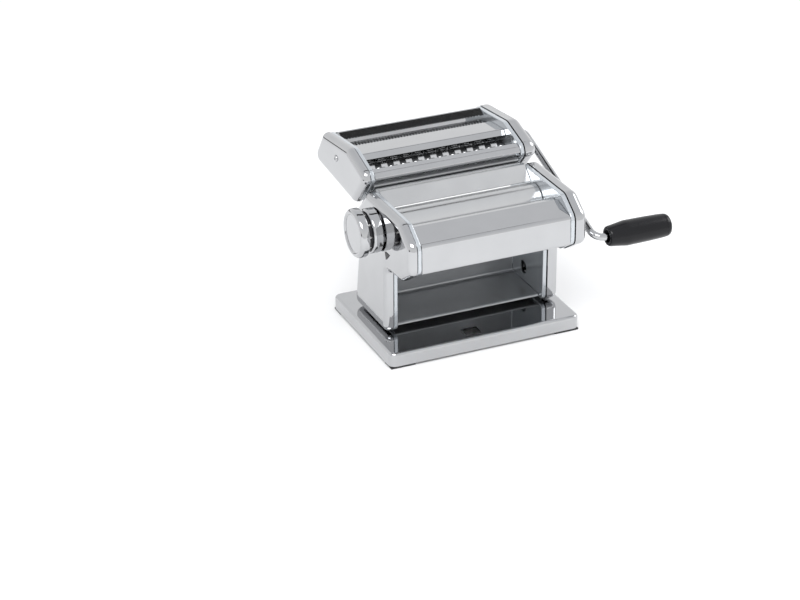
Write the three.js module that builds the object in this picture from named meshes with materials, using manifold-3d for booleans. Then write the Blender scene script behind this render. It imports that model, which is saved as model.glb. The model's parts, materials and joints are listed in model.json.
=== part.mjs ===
// Hand-cranked pasta sheeter: a pair of smooth rollers on a chromed stand, with a double cutter head
// hung on the rear rail. Millimetres, +X along the rollers towards the crank, +Y to the rear, +Z up.
import * as THREE from "three";
import { mergeVertices } from "three/addons/utils/BufferGeometryUtils.js";
import Module from "manifold-3d";

const wasm = await Module();
wasm.setup();

// Driving dimensions. Y is measured from the base's front edge, Z from the base's top face.
const BASE = { width: 200, depth: 142.6, height: 14, corner: 7, wall: 1.5, edge: 3 };
const FOOT = { length: 26, depth: 16, height: 2 };
const CLAMP_SLOT = { x: -10, y: 14, width: 16, depth: 14 };
const INNER = { left: -75.5, right: 78 };
const PLATE = { depth: 4, web: 1.6, rim: 1.6, step: 0.8 };
const RIM = { left: INNER.left - PLATE.depth, right: INNER.right + PLATE.depth };
const SEAM = 0.9;
const OPEN = { left: RIM.left - SEAM, right: RIM.right + SEAM };
const FACE = { left: OPEN.left - 8.2, right: OPEN.right + 12.5 };
const COVER_WALL = 1.4;
const COVER_ROUND = 5;
const SHEET = 1.2;
const CLEAR = 0.3;
const RUN = 0.1;

const ROLLER = { radius: 17.5, axle: 5, endGap: 0.5 };
const OPEN_GAP = 4.8;
const CARRIER_TRAVEL = 4.2;
const FRONT_AXIS = { y: 16, z: 103.5 };
const REAR_AXIS = { y: FRONT_AXIS.y + 2 * ROLLER.radius + OPEN_GAP, z: 103.5 };
const BUSH_RADIUS = 8;
const CARRIER = { depth: 18, height: 20 };
const GEAR = { teeth: 14, tip: 21.2, root: 13.6, tipWidth: 1.7, rootWidth: 3.6, width: 6.5 };

const KNOB_AXIS = { y: 57.5, z: 104 };
const KNOB = { cap: 23.8, drum: 21.6, ring: 19, stud: 3, tube: 5.4, cam: 9, camOffset: 2.1 };
const KNOB_X = { drum: -90, ring: -99.8, cap: -104.4, face: -113.4, floor: -95 };
const PULL = 3;

const CUTTER = { radius: 10.6, core: 7.8, axle: 4, centres: 19.6, segments: 12 };
const WIDE_FRONT = { y: 111, z: 129.5 };
const WIDE_REAR = { y: WIDE_FRONT.y + CUTTER.centres, z: WIDE_FRONT.z };
const FINE_FRONT = { y: 154, z: 134 };
const FINE_REAR = { y: FINE_FRONT.y + CUTTER.centres, z: FINE_FRONT.z };
const WIDE_PITCH = 13;
const WIDE_RING = 6.2;
const CUTTER_GEAR = { teeth: 12, tip: 11, root: 7.9, tipWidth: 1.2, rootWidth: 2.4, width: 5 };

const SOCKET = { radius: 6.2, square: 7, start: 84.3, end: 96.6 };
const CRANK = { plane: 112, rod: 3.6, bend: 11, reach: 158.5, drop: 53, square: 6.2 };
const GRIP = { start: 124.5, length: 66.5, bore: 4.1 };
const SEGMENTS = 28;
const FINE_SEGMENTS = 16;

const chrome = { color: 0xd2d3d5, roughness: 0.12, metalness: 1 };
const satin = { color: 0xb9babd, roughness: 0.35, metalness: 1 };
const zinc = { color: 0xc3c8cd, roughness: 0.4, metalness: 1 };
const steel = { color: 0x8f9195, roughness: 0.45, metalness: 1 };
const aluminium = { color: 0xc9cacc, roughness: 0.25, metalness: 1 };
const nylon = { color: 0xe8e6df, roughness: 0.5, metalness: 0 };
const black = { color: 0x1a1b1d, roughness: 0.4, metalness: 0 };
const rubber = { color: 0x151515, roughness: 0.85, metalness: 0 };

const machine = new THREE.Group();

// ---- solids: closed geometry in and out of manifold-3d ----

function solid(geometry) {
  const bare = new THREE.BufferGeometry();
  bare.setAttribute("position", geometry.getAttribute("position"));
  if (geometry.index) bare.setIndex(geometry.index);
  const merged = mergeVertices(bare, 1e-3);
  return new wasm.Manifold(
    new wasm.Mesh({
      numProp: 3,
      vertProperties: merged.attributes.position.array,
      triVerts: new Uint32Array(merged.index.array),
    }),
  );
}

function geometryOf(manifold) {
  const mesh = manifold.getMesh();
  const geometry = new THREE.BufferGeometry();
  geometry.setAttribute("position", new THREE.BufferAttribute(mesh.vertProperties, 3));
  geometry.setIndex(new THREE.BufferAttribute(mesh.triVerts, 1));
  geometry.computeVertexNormals();
  return geometry;
}

function add(name, manifold, finish) {
  const mesh = new THREE.Mesh(geometryOf(manifold), new THREE.MeshStandardMaterial(finish));
  mesh.name = name;
  machine.add(mesh);
}

function unite(solids) {
  return solids.reduce((whole, piece) => whole.add(piece));
}

function cut(body, tools) {
  return tools.reduce((rest, tool) => rest.subtract(tool), body);
}

// A box between two corners.
function block(low, high) {
  const size = high.map((value, i) => value - low[i]);
  const geometry = new THREE.BoxGeometry(...size);
  geometry.translate(...low.map((value, i) => value + size[i] / 2));
  return solid(geometry);
}

// A round bar along X about the line through (y, z).
function bar(xa, xb, { y, z }, radius, segments = SEGMENTS) {
  const geometry = new THREE.CylinderGeometry(radius, radius, Math.abs(xb - xa), segments);
  geometry.rotateZ(-Math.PI / 2);
  geometry.translate((xa + xb) / 2, y, z);
  return solid(geometry);
}

// A turned piece about the same line: pairs of (x, radius) from one end to the other.
function turned(profile, { y, z }, segments = SEGMENTS) {
  const points = [[profile[0][0], 0], ...profile, [profile.at(-1)[0], 0]];
  const outline = points.map(([x, radius]) => new THREE.Vector2(radius, x));
  const geometry = new THREE.LatheGeometry(outline, segments);
  geometry.rotateZ(-Math.PI / 2);
  geometry.translate(0, y, z);
  return solid(geometry);
}

// Corner points with a fillet radius each, as a list of points with arcs.
function rounded(corners, steps = 4) {
  const points = [];
  corners.forEach(([y, z, radius], i) => {
    const corner = new THREE.Vector2(y, z);
    if (!radius) {
      points.push(corner);
      return;
    }
    const before = corners.at(i - 1);
    const after = corners[(i + 1) % corners.length];
    const back = new THREE.Vector2(before[0] - y, before[1] - z).normalize();
    const ahead = new THREE.Vector2(after[0] - y, after[1] - z).normalize();
    const half = Math.acos(back.dot(ahead)) / 2;
    const middle = back.clone().add(ahead).normalize();
    const centre = corner.clone().addScaledVector(middle, radius / Math.sin(half));
    const start = corner.clone().addScaledVector(back, radius / Math.tan(half)).sub(centre);
    const end = corner.clone().addScaledVector(ahead, radius / Math.tan(half)).sub(centre);
    const sweep = Math.atan2(start.cross(end), start.dot(end));
    for (let k = 0; k <= steps; k += 1) {
      const turn = start.clone().rotateAround(new THREE.Vector2(), (sweep * k) / steps);
      points.push(turn.add(centre));
    }
  });
  return points;
}

// An outline in the Y-Z plane, extruded along X from x0 to x1.
function profileAlongX(points, x0, x1, bevel = {}) {
  const geometry = new THREE.ExtrudeGeometry(new THREE.Shape(points), {
    depth: x1 - x0,
    bevelEnabled: false,
    ...bevel,
  });
  const axes = new THREE.Matrix4().makeBasis(
    new THREE.Vector3(0, 1, 0),
    new THREE.Vector3(0, 0, 1),
    new THREE.Vector3(1, 0, 0),
  );
  geometry.applyMatrix4(axes);
  geometry.translate(x0, 0, 0);
  return solid(geometry);
}

// A strip of constant thickness along an open line in the Y-Z plane, spanning x0 to x1.
function strip(line, thickness, x0, x1) {
  const centre = line.map(([y, z]) => new THREE.Vector2(y, z));
  const directions = centre.slice(1).map((point, i) => point.clone().sub(centre[i]).normalize());
  const side = (sign) =>
    centre.map((point, i) => {
      const before = directions[Math.max(i - 1, 0)];
      const after = directions[Math.min(i, directions.length - 1)];
      const tangent = before.clone().add(after).normalize();
      const normal = new THREE.Vector2(-tangent.y, tangent.x);
      const stretch = (sign * thickness) / 2 / tangent.dot(after);
      return point.clone().addScaledVector(normal, stretch);
    });
  const outline = [...side(1), ...side(-1).reverse()];
  if (THREE.ShapeUtils.area(outline) < 0) outline.reverse();
  return profileAlongX(outline, x0, x1);
}

// The two side outlines: the machine's own, and the cutter head's.
const BODY_OUTLINE = rounded([
  [116, 1.8, 8],
  [37.5, 1.8, 7],
  [36.5, 70, 5],
  [4, 72.5, 12],
  [-19.5, 88, 9],
  [-19.5, 116, 12],
  [3.5, 131.5, 12],
  [84, 131, 8],
  [113, 101, 9],
  [107, 56, 20],
]);
const HEAD_OUTLINE = rounded([
  [206, 115, 9],
  [114, 107, 8],
  [86.8, 137.5, 7.5],
  [91, 147.5, 9],
  [128, 158.5, 14],
  [192, 151.5, 8],
  [211, 125, 9],
]);

// The same outline, moved inwards by a distance.
function inset(outline, distance) {
  const inwards = Math.sign(THREE.ShapeUtils.area(outline));
  return outline.map((point, i) => {
    const back = point.clone().sub(outline.at(i - 1)).normalize();
    const ahead = outline[(i + 1) % outline.length].clone().sub(point).normalize();
    const tangent = back.clone().add(ahead).normalize();
    const normal = new THREE.Vector2(-tangent.y, tangent.x).multiplyScalar(inwards);
    return point.clone().addScaledVector(normal, distance / tangent.dot(ahead));
  });
}

// An outline extruded between two X values given in either order.
function slab(outline, xa, xb) {
  return profileAlongX(outline, Math.min(xa, xb), Math.max(xa, xb));
}

// ---- shells ----

// A drawn cover: open at x = open, with a rounded edge round its flat face at x = face.
function drawnCover(outline, open, face) {
  const away = Math.sign(face - open);
  const straight = Math.abs(face - open) - COVER_ROUND;
  const reach = BASE.width;
  const pillow = profileAlongX(outline, open - straight, open + straight, {
    bevelEnabled: true,
    bevelThickness: COVER_ROUND,
    bevelSize: COVER_ROUND,
    bevelOffset: -COVER_ROUND,
    bevelSegments: 2,
  });
  const kept = [open, open + away * reach].sort((a, b) => a - b);
  const half = block([kept[0], -reach, -reach], [kept[1], 2 * reach, reach]);
  const shoulder = open + away * straight;
  return cut(pillow.intersect(half), [
    slab(inset(outline, COVER_WALL), open - away, shoulder),
    slab(inset(outline, COVER_ROUND), shoulder - away * CLEAR, face - away * COVER_WALL),
  ]);
}

// A side plate: a web on the roller side, with a flange round it turned outwards.
function sidePlate(outline, web, rim, holes) {
  const away = Math.sign(rim - web);
  const pocket = slab(inset(outline, PLATE.rim), web + away * PLATE.web, rim + away);
  return cut(slab(outline, web, rim).subtract(pocket), holes);
}

// ---- the stand ----

function roundedPlate(inward, low, high, bevel = {}) {
  const half = BASE.width / 2 - inward;
  const front = inward;
  const rear = BASE.depth - inward;
  const radius = BASE.corner - inward;
  const outline = rounded([
    [-half, front, radius],
    [half, front, radius],
    [half, rear, radius],
    [-half, rear, radius],
  ]);
  const geometry = new THREE.ExtrudeGeometry(new THREE.Shape(outline), {
    depth: high - low,
    bevelEnabled: false,
    ...bevel,
  });
  geometry.translate(0, 0, low);
  return solid(geometry);
}

const slotLow = [CLAMP_SLOT.x - CLAMP_SLOT.width / 2, CLAMP_SLOT.y - CLAMP_SLOT.depth / 2];
const slotHigh = [CLAMP_SLOT.x + CLAMP_SLOT.width / 2, CLAMP_SLOT.y + CLAMP_SLOT.depth / 2];
const basePillow = roundedPlate(0, -BASE.height, -BASE.edge, {
  bevelEnabled: true,
  bevelThickness: BASE.edge,
  bevelSize: BASE.edge,
  bevelOffset: -BASE.edge,
  bevelSegments: 2,
});
add(
  "base_plate",
  cut(basePillow, [
    block([-BASE.width, -BASE.width, -2 * BASE.height], [BASE.width, 2 * BASE.width, -BASE.height]),
    roundedPlate(BASE.wall + CLEAR, -BASE.height - 1, -BASE.edge),
    roundedPlate(BASE.edge, -BASE.height, -BASE.wall),
    block([...slotLow, -BASE.height], [...slotHigh, BASE.height]),
  ]),
  chrome,
);

// Each foot fills a corner of the hollow base and spreads under its rim.
function foot(name, sideX, sideY) {
  const middle = BASE.depth / 2;
  const box = (inward, low, high) => {
    const outerX = sideX * (BASE.width / 2 - inward);
    const innerX = sideX * (BASE.width / 2 - FOOT.length);
    const outerY = middle + sideY * (middle - inward);
    const innerY = middle + sideY * (middle - FOOT.depth);
    const xs = [outerX, innerX].sort((a, b) => a - b);
    const ys = [outerY, innerY].sort((a, b) => a - b);
    return block([xs[0], ys[0], low], [xs[1], ys[1], high]);
  };
  const sole = box(1, -BASE.height - FOOT.height, -BASE.height - CLEAR);
  const plug = box(BASE.corner, -BASE.height - CLEAR, -BASE.edge - 2 * CLEAR);
  add(name, sole.add(plug), rubber);
}
foot("foot_front_left", -1, -1);
foot("foot_front_right", 1, -1);
foot("foot_rear_left", -1, 1);
foot("foot_rear_right", 1, 1);

// ---- the body: two side plates, joined by sheets and tie rods ----

const TIE_RODS = {
  tie_rod_front: { y: 2, z: 83 },
  tie_rod_rear: { y: 95, z: 88 },
  tie_rod_low: { y: 108.1, z: 10 },
};
const TIE = { tube: 3, thread: 2, nut: 3.4 };
const VIEW_HOLE = { y: 80, z: 21, radius: 7 };
const carrierSlot = (xa, xb) =>
  block(
    [xa, REAR_AXIS.y - CARRIER.depth / 2 - CARRIER_TRAVEL - CLEAR, REAR_AXIS.z - CARRIER.height / 2 - CLEAR],
    [xb, REAR_AXIS.y + CARRIER.depth / 2 + CLEAR, REAR_AXIS.z + CARRIER.height / 2 + CLEAR],
  );

function bodyPlate(name, web, rim) {
  const outline = inset(BODY_OUTLINE, PLATE.step);
  const xs = [web, rim].sort((a, b) => a - b);
  const past = [xs[0] - 1, xs[1] + 1];
  const tools = [
    bar(...past, FRONT_AXIS, BUSH_RADIUS + CLEAR),
    carrierSlot(...past),
    bar(...past, VIEW_HOLE, VIEW_HOLE.radius),
    ...Object.values(TIE_RODS).map((place) => bar(...past, place, TIE.thread + CLEAR, 8)),
  ];
  const standing = block([xs[0], 47, CLEAR], [xs[1], 106, 5]);
  add(name, sidePlate(outline, web, rim, tools).add(standing), zinc);
}
bodyPlate("left_side_plate", INNER.left, RIM.left);
bodyPlate("right_side_plate", INNER.right, RIM.right);

add(
  "left_cover",
  drawnCover(BODY_OUTLINE, OPEN.left, FACE.left).subtract(
    bar(FACE.left - 1, OPEN.left, KNOB_AXIS, KNOB.tube + 2 * CLEAR),
  ),
  chrome,
);
add(
  "right_cover",
  drawnCover(BODY_OUTLINE, OPEN.right, FACE.right).subtract(
    bar(OPEN.right, FACE.right + 1, FRONT_AXIS, SOCKET.radius + 2 * CLEAR),
  ),
  chrome,
);

Object.entries(TIE_RODS).forEach(([name, place]) => {
  const tube = bar(INNER.left + CLEAR, INNER.right - CLEAR, place, TIE.tube, FINE_SEGMENTS);
  const ends = bar(RIM.left + CLEAR, RIM.right - CLEAR, place, TIE.thread, FINE_SEGMENTS);
  const nuts = [
    [RIM.left, INNER.left - PLATE.web - CLEAR],
    [INNER.right + PLATE.web + CLEAR, RIM.right],
  ].map(([a, b]) => bar(a, b, place, TIE.nut, 6));
  add(name, unite([tube, ends, ...nuts]), steel);
});

function sheet(name, line, finish, thickness = SHEET) {
  add(name, strip(line, thickness, INNER.left + CLEAR, INNER.right - CLEAR), finish);
}
sheet("front_cover", [[10.3, 122.4], [-16.2, 115.8], [-18.3, 113], [-18.3, 89], [-15, 86.4], [-11, 86.4]], chrome);
sheet("hopper_plate", [[68.4, 120.2], [79.6, 131], [83, 131]], satin);
sheet("dough_tray", [[104, 96], [104, 9], [101, 6.2], [48, 6.2], [45.5, 4.4]], chrome);
sheet("head_rail", [[85.2, 125.4], [89.9, 129.8], [109.4, 109.6], [104.6, 104.6]], steel);

// ---- the smooth rollers, their bearings and gears ----

function roller(name, axis, rightEnd) {
  const { radius, axle, endGap } = ROLLER;
  const left = INNER.left + endGap;
  const right = INNER.right - endGap;
  const profile = [
    [RIM.left + CLEAR, axle],
    [left, axle],
    [left, radius - 1],
    [left + 1, radius],
    [right - 1, radius],
    [right, radius - 1],
    [right, axle],
    [rightEnd, axle],
  ];
  add(name, turned(profile, axis), aluminium);
}
roller("front_roller", FRONT_AXIS, SOCKET.start - CLEAR);
roller("rear_roller", REAR_AXIS, OPEN.right + GEAR.width + 2);

function bush(name, web, rim) {
  const xs = [web, rim].sort((a, b) => a - b);
  const body = bar(xs[0], xs[1], FRONT_AXIS, BUSH_RADIUS);
  add(name, body.subtract(bar(xs[0] - 1, xs[1] + 1, FRONT_AXIS, ROLLER.axle + RUN)), nylon);
}
bush("front_bush_left", INNER.left, RIM.left);
bush("front_bush_right", INNER.right, RIM.right);

function carrier(name, web, rim) {
  const xs = [web, rim].sort((a, b) => a - b);
  const low = [xs[0], REAR_AXIS.y - CARRIER.depth / 2, REAR_AXIS.z - CARRIER.height / 2];
  const high = [xs[1], REAR_AXIS.y + CARRIER.depth / 2, REAR_AXIS.z + CARRIER.height / 2];
  const bore = bar(xs[0] - 1, xs[1] + 1, REAR_AXIS, ROLLER.axle + RUN);
  add(name, block(low, high).subtract(bore), nylon);
}
carrier("rear_carrier_left", INNER.left, RIM.left);
carrier("rear_carrier_right", INNER.right, RIM.right);

sheet("front_scraper", [[22.4, 85.6], [12, 79.5]], steel, 1);
sheet("rear_scraper", [[REAR_AXIS.y - 6.4, 85.6], [REAR_AXIS.y + 4, 79.5]], steel, 1);

// A spur gear: straight-sided teeth, bored for its shaft; turn is the angle of its first tooth.
function gear(name, axis, size, x0, bore, turn) {
  const points = [];
  for (let tooth = 0; tooth < size.teeth; tooth += 1) {
    const middle = turn + (tooth * 2 * Math.PI) / size.teeth;
    const rootHalf = size.rootWidth / size.root / 2;
    const tipHalf = size.tipWidth / size.tip / 2;
    [
      [size.root, -rootHalf],
      [size.tip, -tipHalf],
      [size.tip, tipHalf],
      [size.root, rootHalf],
    ].forEach(([radius, angle]) => {
      const along = middle + angle;
      points.push(new THREE.Vector2(axis.y + radius * Math.cos(along), axis.z + radius * Math.sin(along)));
    });
  }
  const body = profileAlongX(points, x0, x0 + size.width);
  add(name, body.subtract(bar(x0 - 1, x0 + size.width + 1, axis, bore, FINE_SEGMENTS)), steel);
}
// One gear of a pair has a tooth on the line of centres, the other a gap there.
function gearPair(names, axes, size, x0, bores) {
  const halfTooth = Math.PI / size.teeth;
  gear(names[0], axes[0], size, x0, bores[0], 0);
  gear(names[1], axes[1], size, x0, bores[1], Math.PI + halfTooth);
}
gearPair(
  ["front_roller_gear", "rear_roller_gear"],
  [FRONT_AXIS, REAR_AXIS],
  GEAR,
  SOCKET.start + CLEAR,
  [SOCKET.radius + CLEAR, ROLLER.axle + CLEAR],
);

// A drive socket is a sleeve with a square hole for the crank, open at its outer end.
function socket(name, axis) {
  const half = SOCKET.square / 2;
  const hole = block(
    [SOCKET.start - 1, axis.y - half, axis.z - half],
    [SOCKET.end + 1, axis.y + half, axis.z + half],
  );
  add(name, bar(SOCKET.start, SOCKET.end, axis, SOCKET.radius, FINE_SEGMENTS).subtract(hole), steel);
}
socket("front_roller_socket", FRONT_AXIS);

// ---- the thickness dial: a knob that is pulled out, turned and let back in ----

// The stud is held by a bridge across the side plate's rim, and its head stops the spring.
const STUD_HEAD = { near: -106, far: -108, radius: 6 };
add(
  "knob_stud",
  unite([
    bar(STUD_HEAD.far, STUD_HEAD.near, KNOB_AXIS, STUD_HEAD.radius, FINE_SEGMENTS),
    bar(STUD_HEAD.near - 1, OPEN.left + CLEAR, KNOB_AXIS, KNOB.stud, FINE_SEGMENTS),
    block([OPEN.left, KNOB_AXIS.y - 22, KNOB_AXIS.z - 6], [RIM.left - CLEAR, KNOB_AXIS.y + 22, KNOB_AXIS.z + 6]),
  ]),
  steel,
);

const studHole = (xa, xb) => bar(xa, xb, KNOB_AXIS, KNOB.stud + CLEAR, FINE_SEGMENTS);
const washerEnd = KNOB_X.floor - 2 - CLEAR;
add(
  "knob_washer",
  bar(washerEnd - 1, washerEnd, KNOB_AXIS, 7, FINE_SEGMENTS).subtract(studHole(washerEnd - 2, washerEnd + 1)),
  steel,
);

// The spring is drawn at its pressed length, between the washer's outermost place and the stud's head.
const SPRING = { near: -102.3, far: -105.4, radius: 5.2, wire: 0.45, turns: 2.5 };
class Helix extends THREE.Curve {
  getPoint(t) {
    const angle = t * SPRING.turns * 2 * Math.PI;
    return new THREE.Vector3(
      SPRING.near + t * (SPRING.far - SPRING.near),
      KNOB_AXIS.y + SPRING.radius * Math.cos(angle),
      KNOB_AXIS.z + SPRING.radius * Math.sin(angle),
    );
  }
}
function circle(radius, sides) {
  const corner = (k) => {
    const angle = (k * 2 * Math.PI) / sides;
    return new THREE.Vector2(radius * Math.cos(angle), radius * Math.sin(angle));
  };
  return new THREE.Shape(Array.from({ length: sides }, (_, k) => corner(k)));
}
function alongPath(section, path, steps) {
  return solid(new THREE.ExtrudeGeometry(section, { steps, extrudePath: path }));
}
add("knob_spring", alongPath(circle(SPRING.wire, 5), new Helix(), 30), steel);

// Drum, numbered ring and cap turn and slide together; the cam's tube passes through the cover.
const drumInside = bar(KNOB_X.floor - 2, KNOB_X.ring - 1, KNOB_AXIS, KNOB.ring - 2);
const drumBack = bar(KNOB_X.floor, KNOB_X.drum + 1, KNOB_AXIS, KNOB.ring);
add(
  "knob_drum",
  cut(
    turned(
      [
        [KNOB_X.ring + CLEAR, KNOB.drum - 1.5],
        [KNOB_X.ring + 2, KNOB.drum],
        [KNOB_X.drum, KNOB.drum],
      ],
      KNOB_AXIS,
    ),
    [drumInside, drumBack, studHole(KNOB_X.ring - 1, KNOB_X.drum + 1)],
  ),
  chrome,
);
add(
  "knob_ring",
  bar(KNOB_X.cap + CLEAR, KNOB_X.ring, KNOB_AXIS, KNOB.ring).subtract(
    bar(KNOB_X.cap - 1, KNOB_X.ring + 1, KNOB_AXIS, KNOB.ring - 6),
  ),
  nylon,
);
const capPocket = bar(STUD_HEAD.far - CLEAR - 1, KNOB_X.cap + 1, KNOB_AXIS, STUD_HEAD.radius + 1, FINE_SEGMENTS);
add(
  "knob_cap",
  turned(
    [
      [KNOB_X.face + 1.4, KNOB.cap - 5.4],
      [KNOB_X.face, KNOB.cap - 4.4],
      [KNOB_X.face, KNOB.cap - 2.6],
      [KNOB_X.face + 0.8, KNOB.cap - 0.9],
      [KNOB_X.face + 2.8, KNOB.cap],
      [KNOB_X.cap - 1, KNOB.cap],
      [KNOB_X.cap, KNOB.cap - 1],
    ],
    KNOB_AXIS,
  ).subtract(capPocket),
  chrome,
);
const camFace = OPEN.left - 1;
add(
  "adjuster_cam",
  bar(camFace - 2, camFace, { y: KNOB_AXIS.y, z: KNOB_AXIS.z + KNOB.camOffset }, KNOB.cam, FINE_SEGMENTS)
    .add(bar(KNOB_X.floor + CLEAR, camFace - 1, KNOB_AXIS, KNOB.tube, FINE_SEGMENTS))
    .subtract(studHole(KNOB_X.floor - 1, camFace + 1)),
  steel,
);
const POINTER = { y: 31.5, z: 87.5, size: 5 };
add(
  "dial_pointer",
  slab(
    [
      new THREE.Vector2(POINTER.y + POINTER.size, POINTER.z + POINTER.size / 2),
      new THREE.Vector2(POINTER.y - POINTER.size, POINTER.z + POINTER.size / 2),
      new THREE.Vector2(POINTER.y + POINTER.size / 2, POINTER.z - POINTER.size),
    ],
    FACE.left - CLEAR - 0.3,
    FACE.left - CLEAR,
  ),
  black,
);

// ---- the double cutter head: its own side plates, covers, sheets and two pairs of grooved rollers ----

const HEAD_AXLES = [WIDE_FRONT, WIDE_REAR, FINE_FRONT, FINE_REAR];
function headPlate(name, web, rim) {
  const xs = [web, rim].sort((a, b) => a - b);
  const tools = HEAD_AXLES.map((axis) => bar(xs[0] - 1, xs[1] + 1, axis, CUTTER.axle + RUN, FINE_SEGMENTS));
  add(name, sidePlate(inset(HEAD_OUTLINE, PLATE.step), web, rim, tools), zinc);
}
headPlate("head_left_plate", INNER.left, RIM.left);
headPlate("head_right_plate", INNER.right, RIM.right);
// The left cover is held by one screw, whose head stands on its face.
const SCREW = { y: 155, z: 138.5, radius: 3.4, height: 1.4 };
add(
  "head_left_cover",
  drawnCover(HEAD_OUTLINE, OPEN.left, FACE.left).add(
    bar(FACE.left - SCREW.height, FACE.left + COVER_WALL / 2, SCREW, SCREW.radius, FINE_SEGMENTS),
  ),
  chrome,
);
add(
  "head_right_cover",
  cut(
    drawnCover(HEAD_OUTLINE, OPEN.right, FACE.right),
    [WIDE_REAR, FINE_FRONT].map((axis) => bar(OPEN.right, FACE.right + 1, axis, SOCKET.radius + 2 * CLEAR, FINE_SEGMENTS)),
  ),
  chrome,
);
sheet("head_rear_guard", [[172.4, 148.8], [181.6, 153], [188, 150.4], [204.6, 127.2], [202.4, 119.5]], chrome);
sheet("head_divider", [[123.4, 145.4], [127.6, 150], [155.4, 147.4]], chrome);
sheet("head_front_guard", [[98.6, 146], [92.4, 144.4], [89.6, 140.6], [90.2, 137.6]], chrome);
sheet("head_hook_plate", [[97.6, 135.6], [92.6, 130.4], [112.6, 108.6], [117.6, 110.8]], steel);

function ringedRoller(name, axis, firstRing, rightEnd) {
  const left = INNER.left + ROLLER.endGap;
  const right = INNER.right - ROLLER.endGap;
  const profile = [
    [RIM.left + CLEAR, CUTTER.axle],
    [left, CUTTER.axle],
    [left, CUTTER.core],
  ];
  for (let x = firstRing; x + WIDE_RING < right; x += WIDE_PITCH) {
    profile.push([x, CUTTER.core], [x, CUTTER.radius], [x + WIDE_RING, CUTTER.radius], [x + WIDE_RING, CUTTER.core]);
  }
  profile.push([right, CUTTER.core], [right, CUTTER.axle], [rightEnd, CUTTER.axle]);
  add(name, turned(profile, axis, CUTTER.segments), aluminium);
}
const gearStart = SOCKET.start + CLEAR;
const undriven = gearStart + CUTTER_GEAR.width + 1;
const driven = SOCKET.start - CLEAR;
const firstRing = INNER.left + 1.5;
ringedRoller("wide_cutter_front", WIDE_FRONT, firstRing, undriven);
ringedRoller("wide_cutter_rear", WIDE_REAR, firstRing + WIDE_PITCH / 2, driven);

// The fine rollers' grooves are finer than this model's facets, so each is its plain pitch cylinder.
function fineRoller(name, axis, rightEnd) {
  const left = INNER.left + ROLLER.endGap;
  const right = INNER.right - ROLLER.endGap;
  const radius = CUTTER.centres / 2 - CLEAR / 2;
  const profile = [
    [RIM.left + CLEAR, CUTTER.axle],
    [left, CUTTER.axle],
    [left, radius],
    [right, radius],
    [right, CUTTER.axle],
    [rightEnd, CUTTER.axle],
  ];
  add(name, turned(profile, axis, CUTTER.segments), aluminium);
}
fineRoller("fine_cutter_front", FINE_FRONT, driven);
fineRoller("fine_cutter_rear", FINE_REAR, undriven);
gearPair(
  ["wide_front_gear", "wide_rear_gear"],
  [WIDE_FRONT, WIDE_REAR],
  CUTTER_GEAR,
  gearStart,
  [CUTTER.axle + CLEAR, SOCKET.radius + CLEAR],
);
gearPair(
  ["fine_front_gear", "fine_rear_gear"],
  [FINE_FRONT, FINE_REAR],
  CUTTER_GEAR,
  gearStart,
  [SOCKET.radius + CLEAR, CUTTER.axle + CLEAR],
);
socket("wide_cutter_socket", WIDE_REAR);
socket("fine_cutter_socket", FINE_FRONT);
sheet("wide_comb_front", [[108.6, 114.4], [110.6, 118]], steel, 1);
sheet("wide_comb_rear", [[133, 114.4], [131, 118]], steel, 1);
sheet("fine_comb_front", [[151.6, 118.6], [153.6, 122.4]], steel, 1);
sheet("fine_comb_rear", [[176, 118.6], [174, 122.4]], steel, 1);

// ---- the crank: one bent rod with a square end, and a grip that turns on its other end ----

const gripEnd = GRIP.start + GRIP.length;
const crankLength = Math.hypot(CRANK.reach, CRANK.drop);
const armWay = new THREE.Vector2(-CRANK.reach, -CRANK.drop).normalize();
const crankPoint = (point) =>
  new THREE.Vector3(point.x, FINE_FRONT.y + point.y * armWay.x, FINE_FRONT.z + point.y * armWay.y);
const crankStart = SOCKET.end + CLEAR;
const rodLine = rounded(
  [
    [crankStart, 0, 0],
    [CRANK.plane, 0, CRANK.bend],
    [CRANK.plane, crankLength, CRANK.bend],
    [gripEnd - 1, crankLength, 0],
  ],
  6,
).map(crankPoint);
// A path that steps from one point of a line to the next.
class Steps extends THREE.Curve {
  constructor(points) {
    super();
    this.points = points;
  }
  getPointAt(t) {
    return this.points[Math.round(t * (this.points.length - 1))].clone();
  }
  getTangentAt(t) {
    const i = Math.round(t * (this.points.length - 1));
    const before = this.points[Math.max(i - 1, 0)];
    const after = this.points[Math.min(i + 1, this.points.length - 1)];
    return after.clone().sub(before).normalize();
  }
}
const rod = alongPath(circle(CRANK.rod, 12), new Steps(rodLine), rodLine.length - 1);
const stub = block(
  [SOCKET.start + CLEAR, FINE_FRONT.y - CRANK.square / 2, FINE_FRONT.z - CRANK.square / 2],
  [crankStart + 2, FINE_FRONT.y + CRANK.square / 2, FINE_FRONT.z + CRANK.square / 2],
);
add("crank_rod", rod.add(stub), chrome);

const GRIP_AXIS = { y: FINE_FRONT.y - CRANK.reach, z: FINE_FRONT.z - CRANK.drop };
add(
  "crank_grip",
  turned(
    [
      [GRIP.start, 8.6],
      [GRIP.start + 1.4, 10],
      [GRIP.start + 9, 11.4],
      [GRIP.start + 22, 12.4],
      [GRIP.start + 44, 12.2],
      [gripEnd - 12, 11.4],
      [gripEnd - 3, 10.8],
      [gripEnd, 8.4],
    ],
    GRIP_AXIS,
  ).subtract(bar(GRIP.start - 1, gripEnd + 1, GRIP_AXIS, GRIP.bore, FINE_SEGMENTS)),
  black,
);

// The origin is the middle of the whole object's footprint, on the surface it stands on.
const box = new THREE.Box3().setFromObject(machine);
const middle = box.getCenter(new THREE.Vector3());
machine.position.set(-middle.x, -middle.y, -box.min.z);
const group = new THREE.Group();
group.add(machine);

export default group;
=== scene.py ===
import json
import math

import bmesh
import bpy
from mathutils import Euler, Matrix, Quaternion, Vector


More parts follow.
